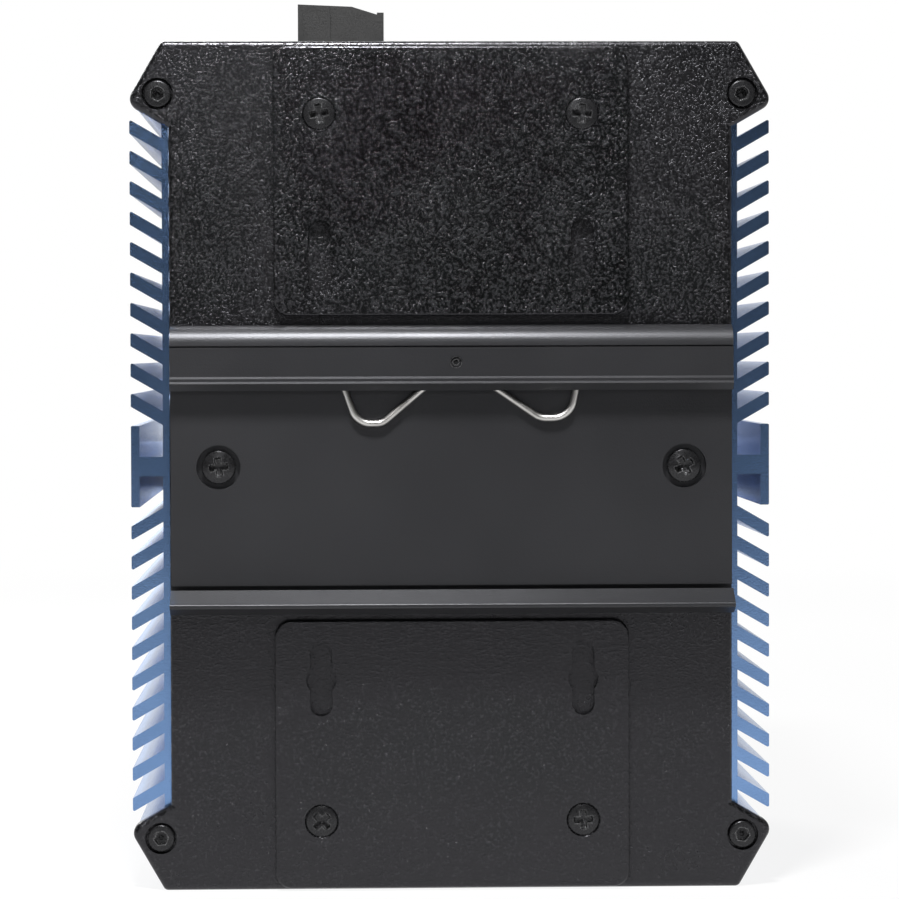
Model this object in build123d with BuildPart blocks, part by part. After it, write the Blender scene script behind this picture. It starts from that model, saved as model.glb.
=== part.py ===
"""DIN rail ethernet switch with finned side extrusions, in millimetres.

Z is up, the ports face -Y and the rail side faces +Y. The origin lies on the surface
that the switch stands on, in the middle of its width and its depth. Heights that are
called z in the sizes below are measured from mid height.
"""
from build123d import *
from math import radians, tan
import os

os.makedirs("parts", exist_ok=True)

# Overall sizes
height = 139.2
housing_depth = 107.0
bracket_height = 8.2
cage_nose = 1.0

# Front and back panels
panel_thickness = 3.0
panel_side_step = 1.2
panel_flare = 1.05
panel_edge_round = 0.8
ear_angle = 30.0
ear_drop = 10.1
ear_round = 1.9
panel_corner_round = 0.9
ear_screw_inset = 5.2
ear_screw_drop = 8.6
counterbore_radius = 2.6

# Side heat sinks
sink_root_x = 47.4
sink_wall = 3.0
fin_reach = 5.25
sink_inset = 0.3
fin_count = 10
fin_first_z = 12.15
fin_end_gap = 12.6
fin_tip_height = 2.3
fin_angle = 30.0
fin_tip_round = 0.25
rail_web = 3.2
rail_flange_height = 13.4
rail_flange = 1.4
cover_lip = 1.2
cover_rib = 1.4
cover_groove = 1.5

# Top and bottom covers
cover_thickness = 1.5
sliding_gap = 0.1

# Rail bracket: heights over the panel, and z from mid height
bracket_end_gap = 0.3
bracket_base = 2.5
bracket_top_z = 23.1
bracket_bottom_z = -23.9
shoulder_round = 3.3
hook_height = 5.0
hook_bead = 0.35
hook_channel = 1.4
hook_tip_z = 12.45
hook_tip = 0.6
hook_ceiling_z = 18.3
hook_bead_z = 14.4
hook_step_z = 13.6
hook_groove_z = 19.6
hook_groove = 0.3
lip_groove_z = -19.4
lip_groove = 1.0
lip_floor_z = -21.4
lip_tip_z = -20.0
lip_tip = 0.5
lip_crest_z = -22.45
lip_crest_round = 0.3
lip_under_height = 5.6
bracket_screw_inset = 7.8
bracket_recess_radius = 3.6
bracket_recess = 1.5

# Bent-wire rail spring: the corners of each loop before they are rounded
wire = 1.15
clamp_x = -0.66
clamp_z = 17.05
apex_rise = 0.3
leg_end_z = 16.4
left_loop = [(18.8, leg_end_z), (15.46, 7.06), (11.38, 7.06)]
right_loop = [(-14.34, 7.87), (-19.26, 7.87), (-21.07, leg_end_z)]
loop_radii = [3.2, 2.6, 1.2, 3.4, 3.4]
clamp_radius = 1.0
clamp_recess = 0.3

# Wall-mount plates, with shares of their width and height
wall_plate_width = 58.1
wall_plate_thickness = 1.5
wall_plate_round = 2.6
wall_plate_edge_round = 0.35
wall_plate_end_gap = 0.95
wall_plate_bracket_gap = 1.55
wall_plate_lower_gap = 0.4
wall_column_share = 0.37
wall_screw_share = 0.25
keyhole_share = 0.28
keyhole_length_share = 0.275
keyhole_width = 3.7
keyhole_eye = 2.5

# Fasteners
thread_gap = 0.05
screw_gap = 0.1
corner_margin = 0.05
m25_radius = 1.25
m25_head_radius = 2.2
m25_head = 1.9
m25_socket = 2.0
m25_length = 10.0
m3_radius = 1.5
m3_head_radius = 2.75
m3_head = 1.35
m3_sunk_head = 1.2
m3_short = 4.0
recess_arm = 3.2
recess_width = 0.9
recess_depth = 0.9
recess_taper = 10.0
socket_share = 0.6
head_edge_round = 0.3
set_screw_share = 0.45

# Ports: each column's jacks above its cages, between the heads of the side board's screws
column_low_gap = 0.45
column_high_gap = 6.8
column_group_gap = 5.75
jack_clearance = 1.6
jack_height = 13.4
jack_length = 21.3
jack_wall = 2.1
jack_mouth_height = 7.0
jack_depth = 13.5
latch_width = 6.2
latch_height = 2.6
jack_base = 2.0
jack_rows = 4
cage_clearance = 1.9
cage_pitch_step = 1.0
cage_height = 10.2
cage_length = 48.7
cage_wall = 0.5
cage_rows = 2
port_gap = 0.3

# Boards along the side walls
board_thickness = 1.6
board_standoff = 3.6
board_front_gap = 0.8
board_end_gap = 5.6
board_engaged = 3.2
board_screw_inset = 5.0
board_screw_depth = 2.2
standoff_radius = 2.6

# Power board with the terminal header
power_board_inset = 3.8
power_board_front_gap = 3.0
power_board_end_gap = 4.1
power_board_low_gap = 8.7
spacer_back_gap = 15.0
ways = 6
way_pitch = 5.08
header_height = 8.6
header_depth = 12.0
header_rim_rise = 1.15
header_wall = 0.9
header_cavity = 9.0
pin_size = 1.0
pin_length = 9.5
pin_foot = 1.5

# Terminal plug: reaches from the header's middle, and rises over its rim
plug_front_gap = 10.5
plug_right_reach = 7.8
plug_left_reach = 7.5
plug_slope_reach = 1.8
plug_lip_reach = 6.3
plug_top_rise = 11.55
plug_slope_top_rise = 11.15
plug_slope_rise = 9.75
plug_edge_rise = 10.1
plug_rib_near = 2.0
plug_rib_far = 6.85
plug_rib_rise = 9.95
plug_rib_depth = 0.8
plug_gap = 0.15
plug_tongue = 6.6
socket_size = 1.4
socket_depth = 9.0
entry_size = 3.6
entry_depth = 7.2
clamp_box = 3.4
clamp_height = 4.2
clamp_hole = 2.4
driver_radius = 1.9
driver_rise = 5.8
driver_depth = 1.6
clamp_screw_radius = 1.25
slot_width = 0.5

# Indicators and reset button
lamp_inset = 6.2
top_row_drop = 11.6
pipe_radius = 1.5
pipe_flange_radius = 2.1
pipe_flange = 0.8
pipe_stub = 3.0
lamp_size = 1.6
lamp_height = 1.1
indicator_gap = 5.4
indicator_inset = 3.8
indicator_top_gap = 5.1
indicator_bottom_gap = 8.1
pillar_inset = 11.1
pillar_end_gap = 4.0
pillar_radius = 2.5
button_radius = 1.7
button_gap = 0.15
button_sink = 0.2
button_engaged = 0.8
switch_width = 6.0
switch_depth = 3.5

# Chips and power parts
pad_thickness = 1.0
switch_chip_size = 23.0
port_chip_size = 14.0
chip_y = -8.0
chip_z = 12.0
magnetics_clearance = 3.5
magnetics_height = 5.6
magnetics_depth = 9.0
magnetics_gap = 3.0
memory_size = 11.0
memory_height = 1.2
memory_shift = 6.0
transformer_width = 26.0
transformer_height = 17.0
transformer_back_gap = 27.0
transformer_z = 4.0
coil_width_share = 0.4
coil_height_share = 1.15
capacitor_count = 4
capacitor_radius = 5.0
capacitor_length = 15.0
capacitor_back_gap = 14.1
capacitor_pitch_share = 1 / 6
capacitor_z = 34.0

# Backplane that links the three boards
backplane_gap = 6.8
backplane_side_gap = 1.2
backplane_end_gap = 21.6
backplane_screw_inset = 10.0
link_width = 6.0
link_height = 60.0
link_depth = 7.0
link_slot = 4.5

# Earth screw
earth_inset = 0.8
earth_y = -8.0
m4_radius = 2.0
m4_head_radius = 3.6
m4_head = 2.2
m4_length = 7.0
earth_nut_height = 3.0
earth_nut_radius = 3.6

# Places worked out from the sizes
mid_height = height / 2
overall_depth = housing_depth + bracket_height + cage_nose
back_y = overall_depth / 2 - bracket_height
front_y = back_y - housing_depth
sink_back_y = back_y - panel_thickness
sink_front_y = front_y + panel_thickness
sink_inner_x = sink_root_x - sink_wall
sink_tip_x = sink_root_x + fin_reach
panel_half_width = sink_root_x - panel_side_step
panel_top_half_width = panel_half_width + panel_flare
ear_z = mid_height - ear_drop
ear_x = panel_top_half_width + ear_drop * tan(radians(ear_angle))
notch_z = ear_z - (ear_x - panel_half_width) * tan(radians(ear_angle))
ear_screw_x = ear_x - ear_screw_inset
ear_screw_z = mid_height - ear_screw_drop
fin_pitch = (mid_height - fin_end_gap - fin_first_z) / (fin_count - 1)
cover_z = mid_height - sink_inset - cover_lip - sliding_gap / 2
board_face_x = sink_inner_x - board_standoff
board_inner_x = board_face_x - board_thickness
backplane_y = sink_back_y - backplane_gap - board_thickness
board_front_y = sink_front_y + board_front_gap
board_back_y = backplane_y - link_depth + board_engaged
board_middle_y = (board_front_y + board_back_y) / 2
board_length = board_back_y - board_front_y
board_height = 2 * (mid_height - board_end_gap)
board_screw_z = board_height / 2 - board_screw_inset
column_low_z = m3_head_radius + column_low_gap - board_screw_z
column_high_z = board_screw_z - m3_head_radius - column_high_gap
ports_height = column_high_z - column_low_z - column_group_gap
steps_height = ports_height + jack_clearance + cage_clearance + cage_rows * cage_pitch_step
jack_pitch = steps_height / (jack_rows + cage_rows)
cage_pitch = jack_pitch - cage_pitch_step
jack_width = jack_pitch - jack_clearance
jack_mouth_width = jack_width - 2 * jack_wall
cage_width = cage_pitch - cage_clearance
magnetics_size = jack_pitch - magnetics_clearance
jack_x = board_inner_x - jack_height / 2
jack_inner_x = board_inner_x - jack_height
cage_x = board_inner_x - cage_height / 2
jack_zs = [column_high_z - jack_width / 2 - jack_pitch * (jack_rows - 1 - row) for row in range(jack_rows)]
cage_zs = [column_low_z + cage_width / 2 + cage_pitch * row for row in range(cage_rows)]
between_ports_z = (jack_zs[0] - jack_width / 2 + cage_zs[-1] + cage_width / 2) / 2
chip_height = board_standoff - pad_thickness
indicator_y = sink_front_y + indicator_gap
indicator_back_y = indicator_y + board_thickness
indicator_width = 2 * (jack_inner_x - indicator_inset)
indicator_height = height - indicator_top_gap - indicator_bottom_gap
indicator_z = (indicator_bottom_gap - indicator_top_gap) / 2
lamp_x = jack_inner_x - lamp_inset
top_row_z = mid_height - top_row_drop
pillar_x = jack_inner_x - pillar_inset
pillar_top_z = indicator_z + indicator_height / 2 - pillar_end_gap
pillar_bottom_z = indicator_z - indicator_height / 2 + pillar_end_gap
power_board_x = jack_inner_x - power_board_inset
power_board_top_z = mid_height - power_board_end_gap
power_board_front_y = indicator_back_y + power_board_front_gap
power_board_length = board_back_y - power_board_front_y
power_board_y = (board_back_y + power_board_front_y) / 2
power_board_height = power_board_top_z - between_ports_z + power_board_low_gap
power_board_z = power_board_top_z - power_board_height / 2
spacer_length = board_inner_x - power_board_x - board_thickness
plug_length = ways * way_pitch
plug_y = power_board_front_y + plug_front_gap + plug_length / 2
plug_back_y = plug_y + plug_length / 2
header_x = power_board_x - header_height / 2
header_rim_z = cover_z + header_rim_rise
plug_base_z = header_rim_z + thread_gap
plug_left_x = header_x - plug_left_reach
plug_top_z = header_rim_z + plug_top_rise
driver_z = header_rim_z + driver_rise
header_length = plug_length + 2 * (plug_gap + header_wall)
tongue_width = header_height - 2 * (header_wall + plug_gap)
backplane_width = 2 * (sink_inner_x - backplane_side_gap)
backplane_height = height - 2 * backplane_end_gap
earth_x = earth_inset - jack_inner_x
bracket_half_length = panel_half_width - bracket_end_gap
bracket_screw_x = bracket_half_length - bracket_screw_inset
channel_top = bracket_base + hook_channel
wire_height = bracket_base + hook_channel / 2
wall_plate_height = mid_height - bracket_top_z - wall_plate_bracket_gap - wall_plate_end_gap
wall_plate_upper_z = bracket_top_z + wall_plate_bracket_gap + wall_plate_height / 2
wall_plate_lower_z = wall_plate_lower_gap + wall_plate_height / 2 - mid_height
wall_column_x = wall_column_share * wall_plate_width
wall_screw_offset = wall_screw_share * wall_plate_height
keyhole_offset = keyhole_share * wall_plate_height
keyhole_length = keyhole_length_share * wall_plate_height
plate_screw_z = [wall_plate_upper_z + wall_screw_offset, wall_plate_lower_z - wall_screw_offset]


def upright(y, z=0.0):
    """The plane that faces the ports' side at this depth, its origin z over mid height."""
    return Plane(origin=(0, y, mid_height + z), x_dir=(1, 0, 0), z_dir=(0, -1, 0))


def sideways(x):
    """The plane that faces right at this place, with Y across and z up."""
    return Plane(origin=(x, 0, mid_height), x_dir=(0, 1, 0), z_dir=(1, 0, 0))


def level(z):
    """The plane that faces up at this height over mid height."""
    return Plane.XY.offset(mid_height + z)


def backward(x, y, z):
    """A place whose own axis points out of the back."""
    return Plane(origin=(x, y, mid_height + z), x_dir=(-1, 0, 0), z_dir=(0, 1, 0))


def forward(x, y, z):
    """A place whose own axis points out of the front."""
    return Plane(origin=(x, y, mid_height + z), x_dir=(1, 0, 0), z_dir=(0, -1, 0))


def inward(side, x, y, z):
    """A place on the right (side 1) or left (-1) half whose own axis points to the middle."""
    return Plane(origin=(side * x, y, mid_height + z), x_dir=(0, 1, 0), z_dir=(-side, 0, 0))


def save(part, name):
    """Label one finished piece and write it."""
    part.label = name
    export_step(part, f"parts/{name}.step")


def ear_places():
    """The four screw places in the ears."""
    return [(x, z) for x in (-ear_screw_x, ear_screw_x) for z in (-ear_screw_z, ear_screw_z)]


def panel_profile():
    """A panel's outline with its four slanted ears."""
    quarter = [(panel_top_half_width, mid_height), (ear_x, ear_z), (panel_half_width, notch_z)]
    right = quarter + [(x, -z) for x, z in reversed(quarter)]
    with BuildSketch() as outline:
        with BuildLine():
            Polyline(*right, *[(-x, z) for x, z in reversed(right)], close=True)
        make_face()
        fillet(outline.vertices().filter_by(lambda v: abs(v.X) > ear_x - corner_margin), ear_round)
        top_corners = outline.vertices().filter_by(lambda v: abs(v.Y) > mid_height - corner_margin)
        fillet(top_corners, panel_corner_round)
    return outline.sketch


def cross_recess():
    """The plan of the cross in a screw head."""
    with BuildSketch() as cross:
        Rectangle(recess_arm, recess_width)
        Rectangle(recess_width, recess_arm)
    return cross.sketch


def pan_screw(length, turn=0.0):
    """An M3 pan head screw that seats on the XY plane, with a cross recess turned by turn."""
    with BuildPart() as screw:
        Cylinder(m3_head_radius, m3_head, align=(Align.CENTER, Align.CENTER, Align.MIN))
        fillet(screw.edges().sort_by(Axis.Z)[-1], m3_head / 2)
        Cylinder(m3_radius - thread_gap, length, align=(Align.CENTER, Align.CENTER, Align.MAX))
        with BuildSketch(Plane.XY.offset(m3_head)):
            add(cross_recess(), rotation=turn)
        extrude(amount=-recess_depth, taper=recess_taper, mode=Mode.SUBTRACT)
    return screw.part


def sunk_screw(length, turn=0.0):
    """An M3 countersunk screw whose flat top lies on the XY plane."""
    shank = m3_radius - thread_gap
    with BuildPart() as screw:
        Cone(shank, m3_head_radius, m3_sunk_head, align=(Align.CENTER, Align.CENTER, Align.MAX))
        Cylinder(shank, length, align=(Align.CENTER, Align.CENTER, Align.MAX))
        with BuildSketch():
            add(cross_recess(), rotation=turn)
        extrude(amount=-recess_depth, taper=recess_taper, mode=Mode.SUBTRACT)
    return screw.part


def socket_screw():
    """An M2.5 screw with a hex socket that seats on the XY plane."""
    with BuildPart() as screw:
        Cylinder(m25_head_radius, m25_head, align=(Align.CENTER, Align.CENTER, Align.MIN))
        fillet(screw.edges().sort_by(Axis.Z)[-1], head_edge_round)
        Cylinder(m25_radius - thread_gap, m25_length, align=(Align.CENTER, Align.CENTER, Align.MAX))
        with BuildSketch(Plane.XY.offset(m25_head)):
            RegularPolygon(m25_socket / 2, 6, major_radius=False)
        extrude(amount=-m25_head * socket_share, mode=Mode.SUBTRACT)
    return screw.part


def tube(outer, inner, length):
    """A standoff that stands on the XY plane."""
    with BuildPart() as sleeve:
        Cylinder(outer, length, align=(Align.CENTER, Align.CENTER, Align.MIN))
        Cylinder(inner, length, align=(Align.CENTER, Align.CENTER, Align.MIN), mode=Mode.SUBTRACT)
    return sleeve.part


# Back panel
with BuildPart() as back_panel:
    with BuildSketch(upright(back_y)):
        add(panel_profile())
    extrude(amount=panel_thickness)
    fillet(back_panel.faces().sort_by(Axis.Y)[-1].edges(), panel_edge_round)
    with BuildSketch(upright(back_y)):
        with Locations(*ear_places()):
            Circle(counterbore_radius)
    extrude(amount=m25_head, mode=Mode.SUBTRACT)
    with BuildSketch(upright(back_y)):
        with Locations(*ear_places()):
            Circle(m25_radius + screw_gap)
        with Locations(*[(x, z) for x in (-wall_column_x, wall_column_x) for z in plate_screw_z]):
            Circle(m3_radius)
        with Locations((-bracket_screw_x, 0), (bracket_screw_x, 0)):
            Circle(m3_radius)
    extrude(amount=panel_thickness, mode=Mode.SUBTRACT)
save(back_panel.part, "back_panel")


def lamp_places():
    """One lamp beside each port and three in the top row."""
    beside = [(side * lamp_x, z) for side in (-1, 1) for z in jack_zs + cage_zs]
    return beside + [(x, top_row_z) for x in (-lamp_x, -lamp_x / 2, lamp_x)]


# Front panel with the openings of both port columns
with BuildPart() as front_panel:
    with BuildSketch(upright(sink_front_y)):
        add(panel_profile())
    extrude(amount=panel_thickness)
    fillet(front_panel.faces().sort_by(Axis.Y)[0].edges(), panel_edge_round)
    with BuildSketch(upright(front_y)):
        with Locations(*ear_places()):
            Circle(counterbore_radius)
    extrude(amount=-m25_head, mode=Mode.SUBTRACT)
    with BuildSketch(upright(sink_front_y)):
        with Locations(*ear_places()):
            Circle(m25_radius + screw_gap)
        with Locations(*[(side * jack_x, z) for side in (-1, 1) for z in jack_zs]):
            Rectangle(jack_height + 2 * port_gap, jack_width + 2 * port_gap)
        with Locations(*[(side * cage_x, z) for side in (-1, 1) for z in cage_zs]):
            Rectangle(cage_height + 2 * port_gap, cage_width + 2 * port_gap)
        with Locations(*lamp_places()):
            Circle(pipe_radius)
        with Locations((0, top_row_z)):
            Circle(button_radius + button_gap)
    extrude(amount=panel_thickness, mode=Mode.SUBTRACT)
save(front_panel.part, "front_panel")


def fin_profile(tip_z, way):
    """One slanted fin of the right-hand sink; way is 1 over mid height and -1 under it."""
    slope = tan(radians(fin_angle))
    root_x = sink_root_x - fin_tip_round
    drop = (sink_tip_x - root_x) * slope
    low_z = tip_z - fin_tip_height
    with BuildSketch() as fin:
        with BuildLine():
            Polyline(
                (sink_tip_x, way * tip_z),
                (sink_tip_x, way * low_z),
                (root_x, way * (low_z - drop)),
                (root_x, way * (tip_z - drop)),
                close=True,
            )
        make_face()
    return fin.sketch


def ear_boss_profile(way):
    """The solid corner behind an ear, which takes the ear's screw."""
    slope = tan(radians(ear_angle))
    wall_z = mid_height - sink_inset
    boss_x = ear_x - sink_inset
    with BuildSketch() as boss:
        with BuildLine():
            Polyline(
                (sink_inner_x, way * wall_z),
                (panel_top_half_width - sink_inset, way * wall_z),
                (boss_x, way * ear_z),
                (sink_root_x, way * (ear_z - (boss_x - sink_root_x) * slope)),
                (sink_inner_x, way * (ear_z - (boss_x - sink_root_x) * slope)),
                close=True,
            )
        make_face()
        fillet(boss.vertices().sort_by(Axis.X)[-1], ear_round)
    return boss.sketch


def board_screw_places():
    """The four screw places of a side board, along Y and z."""
    ys = (board_front_y + board_screw_inset, board_back_y - board_screw_inset)
    return [(y, z) for y in ys for z in (-board_screw_z, board_screw_z)]


# Right heat sink: wall, slanted fins, slotted flange, screw bosses and cover grooves
with BuildPart() as right_heatsink:
    with BuildSketch(upright(sink_back_y)) as section:
        with Locations(((sink_root_x + sink_inner_x) / 2, 0)):
            Rectangle(sink_root_x - sink_inner_x, height - 2 * sink_inset)
        rib_height = cover_lip + cover_thickness + sliding_gap + cover_rib
        for way in (-1, 1):
            for number in range(fin_count):
                add(fin_profile(fin_first_z + fin_pitch * number, way))
            rib_z = mid_height - sink_inset - rib_height / 2
            with Locations((sink_inner_x - cover_groove / 2, way * rib_z)):
                Rectangle(cover_groove, rib_height)
            with Locations((sink_inner_x - cover_groove / 2, way * (cover_z - cover_thickness / 2))):
                Rectangle(cover_groove, cover_thickness + sliding_gap, mode=Mode.SUBTRACT)
        with Locations(((sink_root_x + sink_tip_x) / 2, 0)):
            Rectangle(sink_tip_x - sink_root_x, rail_web)
        with Locations((sink_tip_x - rail_flange / 2, 0)):
            Rectangle(rail_flange, rail_flange_height)
        fillet(section.vertices().filter_by(lambda v: v.X > sink_tip_x - corner_margin), fin_tip_round)
        for way in (-1, 1):
            add(ear_boss_profile(way))
        with Locations((ear_screw_x, ear_screw_z), (ear_screw_x, -ear_screw_z)):
            Circle(m25_radius, mode=Mode.SUBTRACT)
    extrude(amount=sink_back_y - sink_front_y)
    with BuildSketch(sideways(sink_inner_x)):
        with Locations(*board_screw_places()):
            Circle(m3_radius)
    extrude(amount=board_screw_depth, mode=Mode.SUBTRACT)
save(right_heatsink.part, "right_heatsink")

with BuildPart() as left_heatsink:
    add(mirror(right_heatsink.part, about=Plane.YZ))
save(left_heatsink.part, "left_heatsink")


def cover_blank(z):
    """A cover that slides in the grooves of both sinks; z is its upper face."""
    with BuildPart() as blank:
        with BuildSketch(level(z)):
            with Locations((0, (sink_front_y + sink_back_y) / 2)):
                Rectangle(2 * (sink_inner_x - sliding_gap), sink_back_y - sink_front_y - 2 * sliding_gap)
        extrude(amount=-cover_thickness)
    return blank.part


# Top cover with the header's opening and the earth screw's hole
with BuildPart() as top_cover:
    add(cover_blank(cover_z))
    with BuildSketch(level(cover_z)):
        with Locations((header_x, plug_y)):
            Rectangle(header_height + 2 * port_gap, header_length + 2 * port_gap)
        with Locations((earth_x, earth_y)):
            Circle(m4_radius + screw_gap)
    extrude(amount=-cover_thickness, mode=Mode.SUBTRACT)
save(top_cover.part, "top_cover")

with BuildPart() as bottom_cover:
    add(cover_blank(cover_thickness - cover_z))
save(bottom_cover.part, "bottom_cover")

# Panel screws in the ears
with BuildPart() as back_panel_screws:
    with Locations(*[backward(x, back_y - m25_head, z) for x, z in ear_places()]):
        add(socket_screw())
save(back_panel_screws.part, "back_panel_screws")

with BuildPart() as front_panel_screws:
    with Locations(*[forward(x, front_y + m25_head, z) for x, z in ear_places()]):
        add(socket_screw())
save(front_panel_screws.part, "front_panel_screws")

# Rail bracket: one extrusion with a hook above and a sprung-on lip below
bracket_plane = Plane(origin=(-bracket_half_length, back_y, mid_height), x_dir=(0, 1, 0), z_dir=(1, 0, 0))
with BuildPart() as din_bracket:
    with BuildSketch(bracket_plane) as section:
        with BuildLine():
            Polyline(
                (0, bracket_bottom_z),
                (0, bracket_top_z),
                (hook_height, bracket_top_z),
                (hook_height, hook_groove_z + hook_groove / 2),
                (hook_height - hook_groove, hook_groove_z),
                (hook_height, hook_groove_z - hook_groove / 2),
                (hook_height, hook_bead_z + hook_bead),
                (hook_height + hook_bead, hook_bead_z),
                (hook_height + hook_bead, hook_step_z + hook_bead),
                (hook_height + 2 * hook_bead, hook_step_z),
                (channel_top + hook_tip, hook_tip_z),
                (channel_top, hook_tip_z),
                (channel_top, hook_ceiling_z),
                (bracket_base, hook_ceiling_z),
                (bracket_base, lip_groove_z),
                (bracket_base - lip_groove, lip_groove_z),
                (bracket_base - lip_groove, lip_floor_z),
                (channel_top, lip_floor_z),
                (channel_top, lip_tip_z),
                (channel_top + lip_tip, lip_tip_z),
                (bracket_height, lip_crest_z + lip_crest_round),
                (bracket_height, lip_crest_z - lip_crest_round),
                (lip_under_height, bracket_bottom_z),
                close=True,
            )
        make_face()
        fillet(section.vertices().group_by(Axis.Y)[-1].sort_by(Axis.X)[-1], shoulder_round)
        fillet(section.vertices().filter_by(lambda v: v.X > bracket_height - corner_margin), lip_crest_round)
    extrude(amount=2 * bracket_half_length)
    with BuildSketch(upright(back_y + bracket_base)):
        with Locations((-bracket_screw_x, 0), (bracket_screw_x, 0)):
            Circle(bracket_recess_radius)
    extrude(amount=bracket_recess, mode=Mode.SUBTRACT)
    with BuildSketch(upright(back_y + bracket_base)):
        with Locations((-bracket_screw_x, 0), (bracket_screw_x, 0)):
            Circle(m3_radius + screw_gap)
    extrude(amount=bracket_base, mode=Mode.SUBTRACT)
    with BuildSketch(upright(back_y + hook_height)):
        with Locations((clamp_x, clamp_z)):
            Circle(clamp_radius)
    extrude(amount=hook_height - channel_top, mode=Mode.SUBTRACT)
save(din_bracket.part, "din_bracket")

with BuildPart() as bracket_screws:
    for side, turn in ((-1, 30), (1, 8)):
        with Locations(backward(side * bracket_screw_x, back_y + bracket_base - bracket_recess, 0)):
            add(pan_screw(m3_short, turn))
save(bracket_screws.part, "bracket_screws")

# Rail spring: one wire bent into a W, clamped at its apex by the set screw
with BuildPart() as rail_spring:
    with BuildLine(upright(back_y + wire_height)) as path:
        FilletPolyline(*left_loop, (clamp_x, clamp_z + apex_rise), *right_loop, radius=loop_radii)
    start = path.line @ 0
    with BuildSketch(Plane(origin=start, z_dir=path.line % 0)):
        Circle(wire / 2)
    sweep(path=path.line)
save(rail_spring.part, "rail_spring")

with BuildPart() as spring_set_screw:
    screw_foot = wire_height + wire / 2 + thread_gap
    with BuildSketch(upright(back_y + screw_foot)):
        with Locations((clamp_x, clamp_z)):
            Circle(clamp_radius - thread_gap)
    extrude(amount=-(hook_height - clamp_recess - screw_foot))
    with BuildSketch(upright(back_y + hook_height - clamp_recess)):
        with Locations((clamp_x, clamp_z)):
            RegularPolygon(clamp_radius * set_screw_share, 6, major_radius=False)
    extrude(amount=clamp_recess, mode=Mode.SUBTRACT)
save(spring_set_screw.part, "spring_set_screw")


def wall_plate(way):
    """A wall-mount plate with two countersunk holes and two keyholes, centred on the XY plane."""
    with BuildPart() as plate:
        with BuildSketch():
            RectangleRounded(wall_plate_width, wall_plate_height, wall_plate_round)
        extrude(amount=wall_plate_thickness)
        fillet(plate.faces().sort_by(Axis.Z)[-1].edges(), wall_plate_edge_round)
        screw_y = way * wall_screw_offset
        with Locations(*[(x, screw_y, wall_plate_thickness) for x in (-wall_column_x, wall_column_x)]):
            CounterSinkHole(m3_radius + screw_gap, m3_head_radius + thread_gap, wall_plate_thickness)
        with BuildSketch():
            with Locations(*[(x, -way * keyhole_offset) for x in (-wall_column_x, wall_column_x)]):
                SlotOverall(keyhole_length, keyhole_width, rotation=90)
                Circle(keyhole_eye)
        extrude(amount=wall_plate_thickness, mode=Mode.SUBTRACT)
    return plate.part


# Wall-mount plates, stored turned inward on the back panel
with BuildPart() as upper_wall_plate:
    with Locations(backward(0, back_y, wall_plate_upper_z)):
        add(wall_plate(1))
save(upper_wall_plate.part, "upper_wall_plate")

with BuildPart() as lower_wall_plate:
    with Locations(backward(0, back_y, wall_plate_lower_z)):
        add(wall_plate(-1))
save(lower_wall_plate.part, "lower_wall_plate")

with BuildPart() as wall_plate_screws:
    plate_face = back_y + wall_plate_thickness
    places = [(x, z) for z in plate_screw_z for x in (wall_column_x, -wall_column_x)]
    for (x, z), turn in zip(places, (10, -4, 45, 3)):
        with Locations(backward(x, plate_face, z)):
            add(sunk_screw(m3_short, turn))
save(wall_plate_screws.part, "wall_plate_screws")


def jack(side, z):
    """One RJ45 jack lying on its board, with its latch towards the middle."""
    base_x = side * board_inner_x
    mouth_x = base_x - side * (jack_base + jack_mouth_height / 2)
    latch_x = base_x - side * (jack_base + jack_mouth_height + latch_height / 2)
    with BuildPart() as body:
        with BuildSketch(upright(front_y + jack_length)):
            with Locations((side * jack_x, z)):
                Rectangle(jack_height, jack_width)
        extrude(amount=jack_length)
        with BuildSketch(upright(front_y)):
            with Locations((mouth_x, z)):
                Rectangle(jack_mouth_height, jack_mouth_width)
            with Locations((latch_x, z)):
                Rectangle(latch_height, latch_width)
        extrude(amount=-jack_depth, mode=Mode.SUBTRACT)
    return body.part


def cage(side, z):
    """One SFP cage: a folded sheet box, open towards the front."""
    cage_y = front_y - cage_nose
    with BuildPart() as body:
        with BuildSketch(upright(cage_y)):
            with Locations((side * cage_x, z)):
                Rectangle(cage_height, cage_width)
        extrude(amount=-cage_length)
        with BuildSketch(upright(cage_y)):
            with Locations((side * cage_x, z)):
                Rectangle(cage_height - 2 * cage_wall, cage_width - 2 * cage_wall)
        extrude(amount=cage_wall - cage_length, mode=Mode.SUBTRACT)
    return body.part


# Ports: jacks 1 to 4 and cages 1 and 2 on the left, the others on the right
for column, side in enumerate((-1, 1)):
    for row, z in enumerate(reversed(jack_zs)):
        save(jack(side, z), f"rj45_jack_{column * jack_rows + row + 1}")
    for row, z in enumerate(reversed(cage_zs)):
        save(cage(side, z), f"sfp_cage_{column * cage_rows + row + 1}")


def side_board(side):
    """A board along one side wall, with its four screw holes."""
    with BuildPart() as board:
        with BuildSketch(sideways(side * (board_face_x + board_inner_x) / 2)):
            with Locations((board_middle_y, 0)):
                Rectangle(board_length, board_height)
            with Locations(*board_screw_places()):
                Circle(m3_radius + screw_gap, mode=Mode.SUBTRACT)
        extrude(amount=board_thickness / 2, both=True)
    return board.part


save(side_board(-1), "main_board")
save(side_board(1), "port_board")


def board_places(x):
    """The eight screw places of both side boards, with the axis towards the middle."""
    return [inward(side, x, y, z) for side in (-1, 1) for y, z in board_screw_places()]


with BuildPart() as board_standoffs:
    with Locations(*board_places(sink_inner_x)):
        add(tube(standoff_radius, m3_radius + screw_gap, board_standoff))
save(board_standoffs.part, "board_standoffs")

with BuildPart() as board_screws:
    with Locations(*board_places(board_inner_x)):
        add(pan_screw(board_thickness + board_standoff + board_screw_depth - screw_gap))
save(board_screws.part, "board_screws")

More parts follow.
